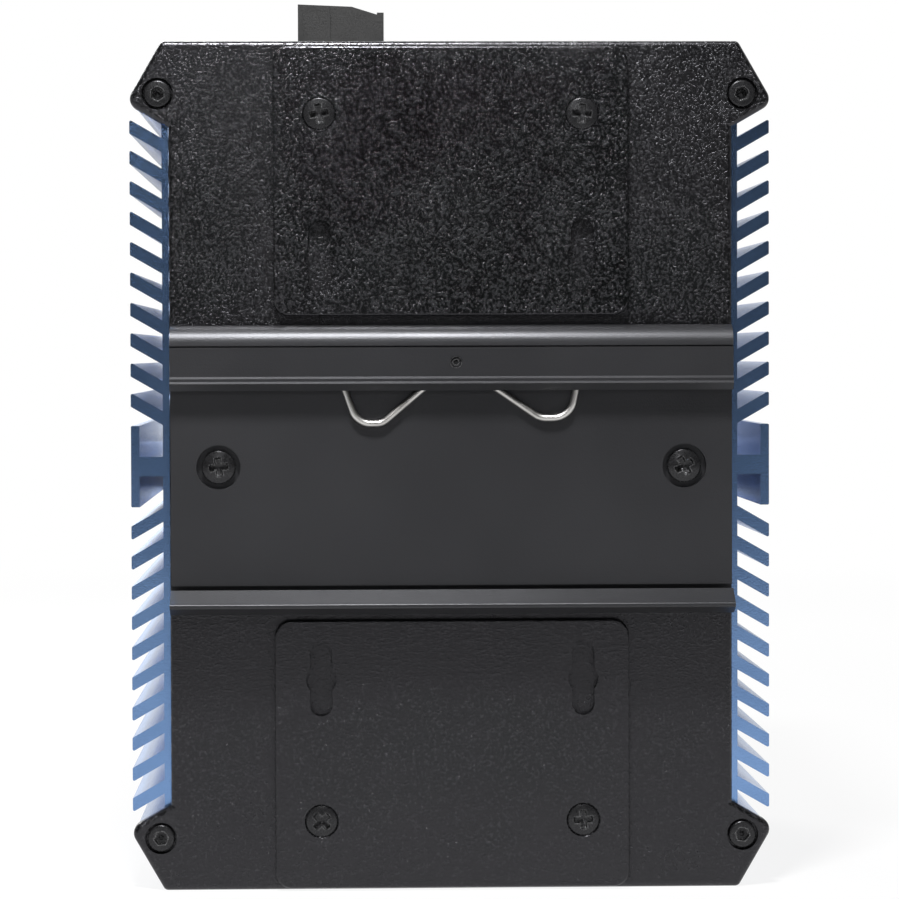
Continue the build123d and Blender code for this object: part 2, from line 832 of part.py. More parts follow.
# Chips that give their heat to the side walls through soft pads
with BuildPart() as switch_chip:
    with Locations(inward(-1, board_face_x + chip_height, chip_y, chip_z)):
        Box(switch_chip_size, switch_chip_size, chip_height, align=(Align.CENTER, Align.CENTER, Align.MIN))
save(switch_chip.part, "switch_chip")

with BuildPart() as port_chip:
    with Locations(inward(1, board_face_x + chip_height, chip_y, chip_z)):
        Box(port_chip_size, port_chip_size, chip_height, align=(Align.CENTER, Align.CENTER, Align.MIN))
save(port_chip.part, "port_chip")

with BuildPart() as thermal_pads:
    for side, size in ((-1, switch_chip_size), (1, port_chip_size)):
        with Locations(inward(side, sink_inner_x, chip_y, chip_z)):
            Box(size, size, pad_thickness, align=(Align.CENTER, Align.CENTER, Align.MIN))
save(thermal_pads.part, "thermal_pads")

with BuildPart() as magnetics:
    magnetics_y = front_y + jack_length + magnetics_gap + magnetics_depth / 2
    with Locations(*[inward(side, board_inner_x, magnetics_y, z) for side in (-1, 1) for z in jack_zs]):
        Box(magnetics_depth, magnetics_size, magnetics_height, align=(Align.CENTER, Align.CENTER, Align.MIN))
save(magnetics.part, "magnetics")

with BuildPart() as memory_chips:
    memory_y = chip_y + memory_shift
    with Locations(*[inward(-1, board_inner_x, memory_y, chip_z + step * memory_size) for step in (-1, 1)]):
        Box(memory_size, memory_size, memory_height, align=(Align.CENTER, Align.CENTER, Align.MIN))
save(memory_chips.part, "memory_chips")

# Power board between spacers on the port board
spacer_zs = (power_board_top_z - board_screw_inset, between_ports_z)
spacer_ys = (power_board_front_y + board_screw_inset, board_back_y - spacer_back_gap)
with BuildPart() as power_board:
    with BuildSketch(sideways(power_board_x)):
        with Locations((power_board_y, power_board_z)):
            Rectangle(power_board_length, power_board_height)
        with Locations(*[(y, z) for y in spacer_ys for z in spacer_zs]):
            Circle(m3_radius + screw_gap, mode=Mode.SUBTRACT)
    extrude(amount=board_thickness)
save(power_board.part, "power_board")

with BuildPart() as power_board_spacers:
    with Locations(*[inward(1, board_inner_x, y, z) for y in spacer_ys for z in spacer_zs]):
        add(tube(standoff_radius, m3_radius, spacer_length))
save(power_board_spacers.part, "power_board_spacers")

with BuildPart() as power_board_screws:
    with Locations(*[inward(1, power_board_x, y, z) for y in spacer_ys for z in spacer_zs]):
        add(pan_screw(board_thickness + m3_short))
save(power_board_screws.part, "power_board_screws")

with BuildPart() as power_transformer:
    with Locations(inward(1, power_board_x, board_back_y - transformer_back_gap, transformer_z)):
        Box(
            transformer_width,
            transformer_width,
            transformer_height,
            align=(Align.CENTER, Align.CENTER, Align.MIN),
        )
        Box(
            transformer_width * coil_width_share,
            transformer_width,
            transformer_height * coil_height_share,
            align=(Align.CENTER, Align.CENTER, Align.MIN),
        )
save(power_transformer.part, "power_transformer")

with BuildPart() as power_capacitors:
    capacitor_pitch = power_board_length * capacitor_pitch_share
    last_y = board_back_y - capacitor_back_gap
    capacitor_ys = [last_y - capacitor_pitch * step for step in range(capacitor_count)]
    with Locations(*[inward(1, power_board_x, y, capacitor_z) for y in capacitor_ys]):
        Cylinder(capacitor_radius, capacitor_length, align=(Align.CENTER, Align.CENTER, Align.MIN))
save(power_capacitors.part, "power_capacitors")


def way_ys():
    """The middle of each terminal way along the depth."""
    return [plug_y + way_pitch * (number - (ways - 1) / 2) for number in range(ways)]


# Terminal header: an open box on the power board, with pins that stand in it
with BuildPart() as terminal_header:
    with BuildSketch(level(header_rim_z)):
        with Locations((header_x, plug_y)):
            Rectangle(header_height, header_length)
    extrude(amount=-header_depth)
    with BuildSketch(level(header_rim_z)):
        with Locations((header_x, plug_y)):
            Rectangle(tongue_width + 2 * plug_gap, plug_length + 2 * plug_gap)
    extrude(amount=-header_cavity, mode=Mode.SUBTRACT)
    with BuildSketch(level(header_rim_z - header_depth)):
        with Locations(*[(header_x, y) for y in way_ys()]):
            Rectangle(pin_size + 2 * thread_gap, pin_size + 2 * thread_gap)
    extrude(amount=header_depth - header_cavity, mode=Mode.SUBTRACT)
save(terminal_header.part, "terminal_header")

with BuildPart() as header_pins:
    pin_bottom_z = header_rim_z - header_depth - pin_foot
    with BuildSketch(level(pin_bottom_z)):
        with Locations(*[(header_x, y) for y in way_ys()]):
            Rectangle(pin_size, pin_size)
    extrude(amount=header_depth - header_cavity + pin_length)
    with BuildSketch(level(pin_bottom_z)):
        with Locations(*[((header_x + power_board_x) / 2, y) for y in way_ys()]):
            Rectangle(power_board_x - header_x, pin_size)
    extrude(amount=pin_size)
save(header_pins.part, "header_pins")

# Terminal plug: the block that lifts out of the header
with BuildPart() as terminal_plug:
    with BuildSketch(upright(plug_y)):
        with BuildLine():
            Polyline(
                (header_x + plug_right_reach, plug_base_z),
                (header_x + plug_right_reach, plug_top_z),
                (header_x - plug_slope_reach, header_rim_z + plug_slope_top_rise),
                (header_x - plug_lip_reach, header_rim_z + plug_slope_rise),
                (header_x - plug_lip_reach, header_rim_z + plug_edge_rise),
                (plug_left_x, header_rim_z + plug_edge_rise),
                (plug_left_x, plug_base_z),
                close=True,
            )
        make_face()
    extrude(amount=plug_length / 2, both=True)
    with BuildSketch(upright(plug_back_y)):
        with BuildLine():
            Polyline(
                (header_x + plug_rib_near, plug_base_z),
                (header_x + plug_rib_far, plug_base_z),
                (header_x + plug_rib_far, header_rim_z + plug_rib_rise),
                (header_x + plug_rib_near, header_rim_z + plug_rib_rise),
                close=True,
            )
        make_face()
    extrude(amount=-plug_rib_depth)
    with BuildSketch(level(plug_base_z)):
        with Locations((header_x, plug_y)):
            Rectangle(tongue_width, plug_length)
    extrude(amount=-plug_tongue)
    with BuildSketch(level(header_rim_z - plug_tongue)):
        with Locations(*[(header_x, y) for y in way_ys()]):
            Rectangle(socket_size, socket_size)
    extrude(amount=socket_depth, mode=Mode.SUBTRACT)
    with BuildSketch(level(plug_top_z)):
        with Locations(*[(header_x + entry_size / 2, y) for y in way_ys()]):
            Rectangle(entry_size, entry_size)
    extrude(amount=-entry_depth, mode=Mode.SUBTRACT)
    with BuildSketch(sideways(plug_left_x)):
        with Locations(*[(y, driver_z) for y in way_ys()]):
            Circle(driver_radius)
    extrude(amount=driver_depth, mode=Mode.SUBTRACT)
    with BuildSketch(sideways(plug_left_x)):
        with Locations(*[(y, driver_z) for y in way_ys()]):
            Circle(clamp_screw_radius + thread_gap)
    extrude(amount=header_x - plug_left_x + thread_gap, mode=Mode.SUBTRACT)
save(terminal_plug.part, "terminal_plug")

# Wire clamps and their screws inside the plug
with BuildPart() as plug_clamps:
    entry_floor_z = plug_top_z - entry_depth
    with BuildSketch(level(entry_floor_z)):
        with Locations(*[(header_x + entry_size / 2, y) for y in way_ys()]):
            Rectangle(clamp_box, clamp_box)
            Rectangle(clamp_hole, clamp_hole, mode=Mode.SUBTRACT)
    extrude(amount=clamp_height)
save(plug_clamps.part, "plug_clamps")

with BuildPart() as plug_screws:
    head_face_x = plug_left_x + driver_depth
    with BuildSketch(sideways(head_face_x)):
        with Locations(*[(y, driver_z) for y in way_ys()]):
            Circle(clamp_screw_radius)
    extrude(amount=header_x - head_face_x)
    with BuildSketch(sideways(head_face_x)):
        with Locations(*[(y, driver_z) for y in way_ys()]):
            Circle(driver_radius - thread_gap)
    extrude(amount=-driver_depth / 2)
    with BuildSketch(sideways(head_face_x - driver_depth / 2)):
        with Locations(*[(y, driver_z) for y in way_ys()]):
            Rectangle(2 * driver_radius, slot_width)
    extrude(amount=slot_width, mode=Mode.SUBTRACT)
save(plug_screws.part, "plug_screws")

# Light pipes pressed into the front panel, and the board with the lamps behind them
with BuildPart() as light_pipes:
    with Locations(*[forward(x, sink_front_y + pipe_flange, z) for x, z in lamp_places()]):
        Cylinder(pipe_flange_radius, pipe_flange, align=(Align.CENTER, Align.CENTER, Align.MIN))
        Cylinder(
            pipe_radius - thread_gap,
            pipe_flange + panel_thickness,
            align=(Align.CENTER, Align.CENTER, Align.MIN),
        )
        Cylinder(pipe_radius - thread_gap, pipe_stub, align=(Align.CENTER, Align.CENTER, Align.MAX))
save(light_pipes.part, "light_pipes")


def pillar_places():
    """The four pillars that carry the indicator board."""
    return [(x, z) for x in (-pillar_x, pillar_x) for z in (pillar_bottom_z, pillar_top_z)]


with BuildPart() as indicator_board:
    with BuildSketch(upright(indicator_y)):
        with Locations((0, indicator_z)):
            Rectangle(indicator_width, indicator_height)
        with Locations(*pillar_places()):
            Circle(m3_radius + screw_gap, mode=Mode.SUBTRACT)
    extrude(amount=-board_thickness)
save(indicator_board.part, "indicator_board")

with BuildPart() as indicator_pillars:
    with Locations(*[forward(x, indicator_y, z) for x, z in pillar_places()]):
        add(tube(pillar_radius, m3_radius, indicator_gap))
save(indicator_pillars.part, "indicator_pillars")

with BuildPart() as indicator_screws:
    with Locations(*[backward(x, indicator_back_y, z) for x, z in pillar_places()]):
        add(pan_screw(board_thickness + m3_short))
save(indicator_screws.part, "indicator_screws")

with BuildPart() as indicator_lamps:
    with Locations(*[forward(x, indicator_y, z) for x, z in lamp_places()]):
        Box(lamp_size, lamp_size, lamp_height, align=(Align.CENTER, Align.CENTER, Align.MIN))
save(indicator_lamps.part, "indicator_lamps")

# Reset switch on the indicator board, and the button that reaches into the panel
with BuildPart() as reset_switch:
    with Locations(forward(0, indicator_y, top_row_z)):
        Box(switch_width, switch_width, switch_depth, align=(Align.CENTER, Align.CENTER, Align.MIN))
        Cylinder(
            button_radius + button_gap,
            switch_depth,
            align=(Align.CENTER, Align.CENTER, Align.MIN),
            mode=Mode.SUBTRACT,
        )
save(reset_switch.part, "reset_switch")

with BuildPart() as reset_button:
    button_back_y = indicator_y - switch_depth + button_engaged
    button_length = button_back_y - front_y - button_sink
    with Locations(forward(0, button_back_y, top_row_z)):
        Cylinder(button_radius, button_length, align=(Align.CENTER, Align.CENTER, Align.MIN))
    fillet(reset_button.edges().sort_by(Axis.Y)[0], head_edge_round)
save(reset_button.part, "reset_button")

def backplane_screw_places():
    """The four screw places of the backplane, along X and z."""
    right_x = backplane_width / 2 - backplane_screw_inset
    top_z = backplane_height / 2 - board_screw_inset
    return [(x, z) for x in (-right_x, right_x) for z in (-top_z, top_z)]


# Backplane with one socket for each board
with BuildPart() as backplane:
    with BuildSketch(upright(backplane_y)):
        Rectangle(backplane_width, backplane_height)
        with Locations(*backplane_screw_places()):
            Circle(m3_radius + screw_gap, mode=Mode.SUBTRACT)
    extrude(amount=-board_thickness)
save(backplane.part, "backplane")


with BuildPart() as backplane_standoffs:
    with Locations(*[forward(x, sink_back_y, z) for x, z in backplane_screw_places()]):
        add(tube(standoff_radius, m3_radius, backplane_gap))
save(backplane_standoffs.part, "backplane_standoffs")

with BuildPart() as backplane_screws:
    with Locations(*[forward(x, backplane_y, z) for x, z in backplane_screw_places()]):
        add(pan_screw(board_thickness + m3_short))
save(backplane_screws.part, "backplane_screws")

with BuildPart() as backplane_sockets:
    board_middle_x = (board_face_x + board_inner_x) / 2
    socket_places = [
        (-board_middle_x, 0),
        (board_middle_x, 0),
        (power_board_x + board_thickness / 2, power_board_z),
    ]
    with BuildSketch(upright(backplane_y)):
        with Locations(*socket_places):
            Rectangle(link_width, link_height)
    extrude(amount=link_depth)
    with BuildSketch(upright(backplane_y - link_depth)):
        with Locations(*socket_places):
            Rectangle(board_thickness + 2 * thread_gap, link_height)
    extrude(amount=-link_slot, mode=Mode.SUBTRACT)
save(backplane_sockets.part, "backplane_sockets")

# Earth screw on the top cover, with its nut underneath
with BuildPart() as earth_screw:
    with Locations((earth_x, earth_y, mid_height + cover_z)):
        Cylinder(m4_head_radius, m4_head, align=(Align.CENTER, Align.CENTER, Align.MIN))
        Cylinder(m4_radius - thread_gap, m4_length, align=(Align.CENTER, Align.CENTER, Align.MAX))
    fillet(earth_screw.edges().sort_by(Axis.Z)[-1], m4_head / 2)
    with BuildSketch(level(cover_z + m4_head)):
        with Locations((earth_x, earth_y)):
            add(cross_recess())
    extrude(amount=-recess_depth, taper=recess_taper, mode=Mode.SUBTRACT)
save(earth_screw.part, "earth_screw")

with BuildPart() as earth_nut:
    with BuildSketch(level(cover_z - cover_thickness)):
        with Locations((earth_x, earth_y)):
            RegularPolygon(earth_nut_radius, 6)
            Circle(m4_radius, mode=Mode.SUBTRACT)
    extrude(amount=-earth_nut_height)
save(earth_nut.part, "earth_nut")
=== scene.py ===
"""Dresses the DIN rail ethernet switch: finishes, small parts, floor, light and camera.

Everything is in metres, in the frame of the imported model. Z is up and the rail side faces +Y.
"""
import math

import bpy
import numpy as np
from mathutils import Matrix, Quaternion, Vector


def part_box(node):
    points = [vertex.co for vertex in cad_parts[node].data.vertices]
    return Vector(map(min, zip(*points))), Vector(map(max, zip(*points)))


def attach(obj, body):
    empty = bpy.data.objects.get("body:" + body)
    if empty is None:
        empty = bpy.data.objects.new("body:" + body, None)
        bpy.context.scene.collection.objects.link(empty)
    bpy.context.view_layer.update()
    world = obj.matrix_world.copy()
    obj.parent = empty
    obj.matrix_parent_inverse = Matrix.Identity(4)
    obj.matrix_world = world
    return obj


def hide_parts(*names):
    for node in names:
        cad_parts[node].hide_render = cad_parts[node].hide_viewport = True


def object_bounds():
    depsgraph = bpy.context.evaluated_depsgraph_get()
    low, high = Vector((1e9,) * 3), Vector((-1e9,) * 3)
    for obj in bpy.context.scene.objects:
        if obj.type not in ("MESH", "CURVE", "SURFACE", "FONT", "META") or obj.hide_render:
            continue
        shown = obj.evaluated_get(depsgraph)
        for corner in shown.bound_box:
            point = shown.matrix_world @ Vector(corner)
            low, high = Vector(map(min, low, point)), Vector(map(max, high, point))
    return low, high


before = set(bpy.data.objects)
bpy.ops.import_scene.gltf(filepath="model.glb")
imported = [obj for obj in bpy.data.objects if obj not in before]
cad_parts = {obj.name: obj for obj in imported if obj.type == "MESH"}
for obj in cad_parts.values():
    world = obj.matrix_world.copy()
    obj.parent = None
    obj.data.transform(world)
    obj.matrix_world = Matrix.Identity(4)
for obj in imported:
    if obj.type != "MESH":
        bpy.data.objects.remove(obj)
cad_low, cad_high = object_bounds()

# Light and camera
camera_place = Vector((0.018196, 0.63080, 0.087938))
camera_target = Vector((0.000314, 0.0499, 0.072306))
camera_roll = -0.175
camera_lens = 141.86
floor_size = 6.0
floor_white = 0.8
soft_light = 0.14


class Value:
    """A socket of a finish. Sums written with it add Math nodes to the same finish."""

    def __init__(self, graph, socket):
        self.graph = graph
        self.socket = socket

    def maths(self, operation, *terms):
        return self.graph.node("Math", {"operation": operation}, terms)

    def __add__(self, other):
        return self.maths("ADD", self, other)

    def __sub__(self, other):
        return self.maths("SUBTRACT", self, other)

    def __rsub__(self, other):
        return self.maths("SUBTRACT", other, self)

    def __mul__(self, other):
        return self.maths("MULTIPLY", self, other)

    __radd__ = __add__
    __rmul__ = __mul__


class Graph:
    """The nodes of one material or of the world."""

    def __init__(self, tree):
        self.tree = tree
        self.tree.nodes.clear()

    def node(self, kind, settings=None, sockets=(), output=0):
        """Adds one node: its settings first, then the values or links of its sockets."""
        made = self.tree.nodes.new("ShaderNode" + kind)
        for name, value in (settings or {}).items():
            setattr(made, name, value)
        pairs = sockets.items() if isinstance(sockets, dict) else enumerate(sockets)
        for key, value in pairs:
            if isinstance(value, Value):
                self.tree.links.new(value.socket, made.inputs[key])
            else:
                made.inputs[key].default_value = value
        return Value(self, made.outputs[output])

    def place(self, x=1.0, y=1.0, z=1.0):
        """Object coordinates, stretched along each axis."""
        here = self.node("TexCoord", output="Object")
        if (x, y, z) == (1.0, 1.0, 1.0):
            return here
        return self.node("Mapping", {}, {"Vector": here, "Scale": (x, y, z)})

    def noise(self, scale, detail=2.0, rough=0.5, place=None):
        """Cloudy noise from 0 to 1, scale features a metre."""
        where = place or self.place()
        sockets = {"Vector": where, "Scale": scale, "Detail": detail, "Roughness": rough}
        return self.node("TexNoise", {}, sockets)

    def step(self, value, low, high, bottom=0.0, top=1.0):
        """A smooth rise from bottom to top while the value goes from low to high."""
        return self.node(
            "MapRange",
            {"interpolation_type": "SMOOTHSTEP"},
            {"Value": value, "From Min": low, "From Max": high, "To Min": bottom, "To Max": top},
        )

    def tint(self, amount, first, second):
        """Goes from the first colour to the second."""
        return self.node("Mix", {"data_type": "RGBA"}, {0: amount, 6: first, 7: second}, 2)

    def relief(self, height, depth):
        """Bump of this depth in metres."""
        return self.node("Bump", {}, {"Height": height, "Distance": depth, "Strength": 1.0})

    def edges(self, width, low=0.05, high=0.4):
        """1 on sharp edges and 0 away from them: how far a rounded normal turns from the true one."""
        rounded = self.node("Bevel", {"samples": 4}, {"Radius": width})
        true = self.node("NewGeometry", output="Normal")
        along = self.node("VectorMath", {"operation": "DOT_PRODUCT"}, (rounded, true), "Value")
        return self.step(1.0 - along, low, high)


class Finish(Graph):
    """One material: its nodes and its shader."""

    def __init__(self, name, **constants):
        self.material = bpy.data.materials.new(name)
        self.material.use_nodes = True
        super().__init__(self.material.node_tree)
        self.shader = self.tree.nodes.new("ShaderNodeBsdfPrincipled")
        out = self.tree.nodes.new("ShaderNodeOutputMaterial")
        self.tree.links.new(self.shader.outputs[0], out.inputs[0])
        for key, value in constants.items():
            self.shader.inputs[key.replace("_", " ")].default_value = value

    def wear(self, **varied):
        """Links what varies over the surface to the shader."""
        for key, value in varied.items():
            self.tree.links.new(value.socket, self.shader.inputs[key.replace("_", " ")])
        return self.material


def grey(level, blue=0.0):
    return (level, level, level + blue, 1.0)


def powder(name, low, high, rough, depth, sparse, speck):
    """Fine-texture powder coat on a soft orange peel, with grains raised by the bump and painted paler: a
    painted glint where the grains would catch the light.

    Low and high are the greys of the coat, and speck is the paler grey painted on the grains as a painted
    glint. Sparse is the noise level above which a grain shows.
    """
    coat = Finish(name, Specular_IOR_Level=0.6, Specular_Tint=(0.94, 0.93, 1.0, 1.0))
    grains = coat.noise(2600.0, 2.0, 0.6)
    # Grains: their bump is real texture, and their paler colour is a painted glint.
    grain_and_glint_spots = coat.step(grains, sparse, sparse + 0.15)
    peel = coat.noise(1100.0, 1.0)
    cloud = coat.noise(38.0, 3.0)
    # Edges are painted paler: a painted edge highlight as well as wear, and also made less rough.
    edge_wear_and_sheen = coat.edges(0.0004)
    base = coat.tint(0.6 * cloud + 0.3 * edge_wear_and_sheen, grey(low, 0.1 * low), grey(high, 0.1 * high))
    return coat.wear(
        # The grains get the paler speck grey: painted glints.
        Base_Color=coat.tint(grain_and_glint_spots, base, grey(speck, 0.1 * speck)),
        Roughness=coat.step(cloud + 0.25 * peel, 0.3, 0.95, rough, rough + 0.08) - 0.06 * edge_wear_and_sheen,
        Normal=coat.relief(grain_and_glint_spots + 0.15 * grains + 0.12 * peel, depth),
    )


def blue_anodised():
    """Blue anodised extrusion: smooth drawn flanks, and sawn ends with a fine sparkle."""
    skin = Finish("blue_anodised", Metallic=1.0)
    true = skin.node("NewGeometry", output="Normal")
    along = skin.node("SeparateXYZ", {}, (true,), "Y")
    end_face = skin.step(along * along, 0.3, 0.6)
    lines = skin.noise(1.0, 3.0, 0.6, skin.place(5200.0, 40.0, 5200.0))
    sparkle = skin.noise(3800.0, 2.0, 0.6)
    cloud = skin.noise(60.0, 2.0)
    # Edges are painted paler blue: a painted edge highlight as well as bare metal showing through.
    bare_edge_and_sheen = skin.edges(0.00025)
    blue = skin.tint(skin.step(cloud, 0.35, 0.7), (0.2, 0.34, 0.62, 1), (0.24, 0.4, 0.71, 1))
    return skin.wear(
        Base_Color=skin.tint(0.35 * bare_edge_and_sheen, blue, (0.35, 0.45, 0.65, 1)),
        Roughness=end_face * (0.16 + 0.12 * sparkle) + (1.0 - end_face) * (0.15 + 0.08 * lines),
        Normal=skin.relief(end_face * sparkle + 0.15 * lines, 0.000012),
    )


def black_anodised():
    """Satin black anodised extrusion with lines along the rail, and edges rubbed to the metal that are also
    painted paler: a painted highlight along the edges.
    """
    skin = Finish("black_anodised", Specular_IOR_Level=0.5, Specular_Tint=(0.93, 0.94, 1.0, 1.0))
    lines = skin.noise(1.0, 3.0, 0.6, skin.place(30.0, 3000.0, 3000.0))
    sparkle = skin.noise(3600.0, 2.0, 0.6)
    cloud = skin.noise(45.0, 2.0)
    # Edges are painted paler and more metallic: a painted highlight line as well as rubbed metal.
    bare_edge_and_sheen = skin.edges(0.00022, 0.1, 0.5)
    return skin.wear(
        Base_Color=skin.tint(0.4 * cloud + 0.6 * bare_edge_and_sheen, grey(0.011, 0.001), grey(0.03, 0.002)),
        Metallic=0.45 * bare_edge_and_sheen,
        Roughness=skin.step(cloud + 0.3 * lines, 0.3, 1.0, 0.33, 0.42),
        Normal=skin.relief(sparkle + 0.35 * lines, 0.000025),
    )


def black_steel():
    """Black oxide screw heads, nearly glossy, with edges painted pale grey: a painted glint as well as wear."""
    skin = Finish("black_steel", Metallic=0.7)
    marks = skin.noise(2400.0, 3.0, 0.6)
    # Edges of the head and recess are painted pale grey: a painted glint as well as wear.
    edge_wear_and_glint = skin.edges(0.00024, 0.03, 0.3)
    return skin.wear(
        Base_Color=skin.tint(0.7 * edge_wear_and_glint, (0.03, 0.03, 0.032, 1), (0.5, 0.5, 0.51, 1)),
        Roughness=skin.step(marks, 0.3, 0.7, 0.2, 0.36),
        Normal=skin.relief(marks, 0.00001),
    )


def plated(name, dark, light, low=0.22, high=0.38, grain=3000.0, depth=0.000006):
    """Plated or turned metal: tone clouds and fine marks."""
    skin = Finish(name, Metallic=1.0)
    marks = skin.noise(grain, 3.0, 0.6)
    cloud = skin.noise(250.0, 2.0)
    return skin.wear(
        Base_Color=skin.tint(skin.step(cloud, 0.3, 0.7), dark, light),
        Roughness=skin.step(marks + 0.3 * cloud, 0.35, 0.95, low, high),
        Normal=skin.relief(marks, depth),
    )


def moulded(name, dark, light, low=0.38, high=0.55, grain=2600.0, depth=0.00002, **constants):
    """Moulded plastic: a fine spark-eroded grain, soft tone clouds, and shinier edges that are also painted
    paler as a painted highlight.
    """
    skin = Finish(name, **constants)
    pits = skin.noise(grain, 2.0, 0.5)
    cloud = skin.noise(160.0, 2.0)
    # Edges are painted paler: a painted edge highlight as well as wear, and also made less rough.
    edge_wear_and_sheen = skin.edges(0.0002)
    return skin.wear(
        Base_Color=skin.tint(skin.step(cloud, 0.3, 0.7) * 0.7 + 0.3 * edge_wear_and_sheen, dark, light),
        Roughness=skin.step(pits, 0.3, 0.75, low, high) - 0.12 * edge_wear_and_sheen,
        Normal=skin.relief(pits, depth),
    )


def board_laminate():
    """Green solder mask over copper: wide pours show as raised fields, with a grid of fine tracks."""
    skin = Finish("board_laminate", Coat_Weight=0.4, Coat_Roughness=0.12)
    grid = {"Vector": skin.place(), "Scale": 140.0, "Mortar Size": 0.02}
    tracks = skin.node("TexBrick", {"offset": 0.5}, grid, "Fac")
    weave = skin.noise(1400.0, 1.0)
    pours = skin.step(skin.noise(70.0, 1.0), 0.48, 0.52)
    return skin.wear(
        Base_Color=skin.tint(0.5 * pours + 0.3 * tracks, (0.006, 0.06, 0.024, 1),
                             (0.015, 0.15, 0.055, 1)),
        Roughness=skin.step(weave, 0.3, 0.7, 0.25, 0.4),
        Normal=skin.relief(pours + 0.2 * weave, 0.00002),
    )


finishes = {
    "black_powder": powder("black_powder", 0.001, 0.003, 0.22, 0.00003, 0.5, 0.014),
    "blue_anodised": blue_anodised(),
    "black_anodised": black_anodised(),
    "black_steel": black_steel(),
    "spring_wire": plated("spring_wire", (0.5, 0.49, 0.47, 1), (0.68, 0.67, 0.65, 1), 0.3, 0.4, 900.0,
                          0.000001),
    "jack_shell": plated("jack_shell", (0.5, 0.5, 0.49, 1), (0.66, 0.66, 0.64, 1), 0.28, 0.42),
    "cage_sheet": plated("cage_sheet", (0.5, 0.5, 0.48, 1), (0.68, 0.68, 0.66, 1), 0.24, 0.4),
    "plug_black": moulded("plug_black", grey(0.008), grey(0.02), 0.42, 0.6),
    "header_black": moulded("header_black", grey(0.016), grey(0.03), 0.4, 0.55),
    "tinned_pins": plated("tinned_pins", (0.6, 0.59, 0.55, 1), (0.74, 0.73, 0.68, 1)),
    "clamp_brass": plated("clamp_brass", (0.55, 0.47, 0.3, 1), (0.72, 0.62, 0.4, 1)),
    "bright_steel": plated("bright_steel", (0.5, 0.51, 0.53, 1), (0.68, 0.69, 0.7, 1)),
    "standoff_brass": plated("standoff_brass", (0.62, 0.46, 0.2, 1), (0.78, 0.6, 0.3, 1)),
    "board_laminate": board_laminate(),
    "chip_epoxy": moulded("chip_epoxy", grey(0.012), grey(0.022), 0.5, 0.65),
    "soft_pad": moulded("soft_pad", (0.3, 0.36, 0.42, 1), (0.4, 0.46, 0.52, 1), 0.6, 0.75),
    "transformer_body": moulded("transformer_body", (0.35, 0.26, 0.05, 1), (0.5, 0.38, 0.08, 1), 0.3, 0.4),
    "capacitor_can": moulded("capacitor_can", (0.015, 0.015, 0.03, 1), (0.025, 0.025, 0.05, 1), 0.2, 0.32),
    "socket_plastic": moulded("socket_plastic", grey(0.02), grey(0.035)),
    "clear_pipe": moulded("clear_pipe", grey(0.75), grey(0.85), 0.12, 0.22, Transmission_Weight=0.6),
    "lamp": moulded("lamp", grey(0.6), grey(0.75), 0.25, 0.35),
    "switch_body": moulded("switch_body", grey(0.02), grey(0.03)),
    "button_plastic": moulded("button_plastic", grey(0.25), grey(0.33), 0.35, 0.45),
}
plate_coat = powder("plate_coat", 0.0005, 0.0015, 0.18, 0.00003, 0.5, 0.013)
for name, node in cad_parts.items():
    for held in node.material_slots:
        coated = name in ("upper_wall_plate", "lower_wall_plate")
        held.material = plate_coat if coated else finishes[held.material.name]


# Places as the CAD has them, in millimetres. Heights are from the middle of the panels, at middle_z
mm = 1000.0
middle_z = 69.6
back_face = 49.9
front_face = -57.1
cage_face = -58.1
plate_face = 51.4
bracket_seat = 50.9
jack_heights = (41.5, 24.0, 6.5, -11.0)
cage_heights = (-32.0, -48.5)
jack_contact_x = 36.45
cage_x = 34.1

# Screws: places, turns and the radius of each head and shank
ear_screws = ((-47.88, 61.0), (47.88, 61.0), (-47.88, -61.0), (47.88, -61.0))
ear_head, ear_head_height, ear_shank, ear_dome = 2.2, 1.9, 1.25, 0.06
plate_screws = ((21.497, 57.65, 10.0), (-21.497, 57.65, -4.0), (21.497, -58.2, 45.0), (-21.497, -58.2, 3.0))
plate_head, plate_head_height, plate_dome, plate_head_sink = 2.62, 1.2, 0.22, 0.15
bracket_screws = ((-38.1, 30.0), (38.1, 8.0))
bracket_head, bracket_head_height, bracket_dome = 2.75, 0.9, 0.45
m3_shank = 1.5
rim_round = 0.3
thread_pitch = 0.5
thread_depth = 0.14

# Rail spring: the corners of the wire, the radii of its bends, and its height over the back face
spring_corners = ((18.8, 16.4), (15.46, 7.06), (11.38, 7.06), (-0.66, 17.35), (-14.34, 7.87),
                  (-19.26, 7.87), (-21.07, 16.4))
spring_bends = (3.2, 2.6, 1.2, 3.4, 3.4)
spring_radius, spring_end_radius, spring_rise = 0.575, 0.47, 3.2

# Ports: the liner as inset and depth, the contacts, and the strips as width and thickness
liner_rings = ((0.03, 13.45), (0.03, 0.9), (0.1, 0.8), (0.5, 0.8), (0.58, 0.9), (0.58, 12.9))
contact_pitch = 1.02
contact_size = (0.46, 0.28)
jack_spring_size = (1.3, 0.14)
cage_connector_rings = ((4.4, 6.7, 47.5), (4.4, 6.7, 38.3), (4.2, 6.5, 38.1), (1.3, 5.4, 38.1),
                        (1.2, 5.3, 38.3), (1.2, 5.3, 44.0))
short_finger_size, long_finger_size = (1.7, 0.16), (2.2, 0.16)

# Lamp lenses
lamp_x = 19.6
status_lamps = ((-19.6, 58.0), (-9.8, 58.0), (19.6, 58.0))
lens_foot, lens_collar, lens_dome = 1.05, 1.42, 1.32
lens_sink, lens_collar_height, lens_rise = 0.3, 0.06, 0.4


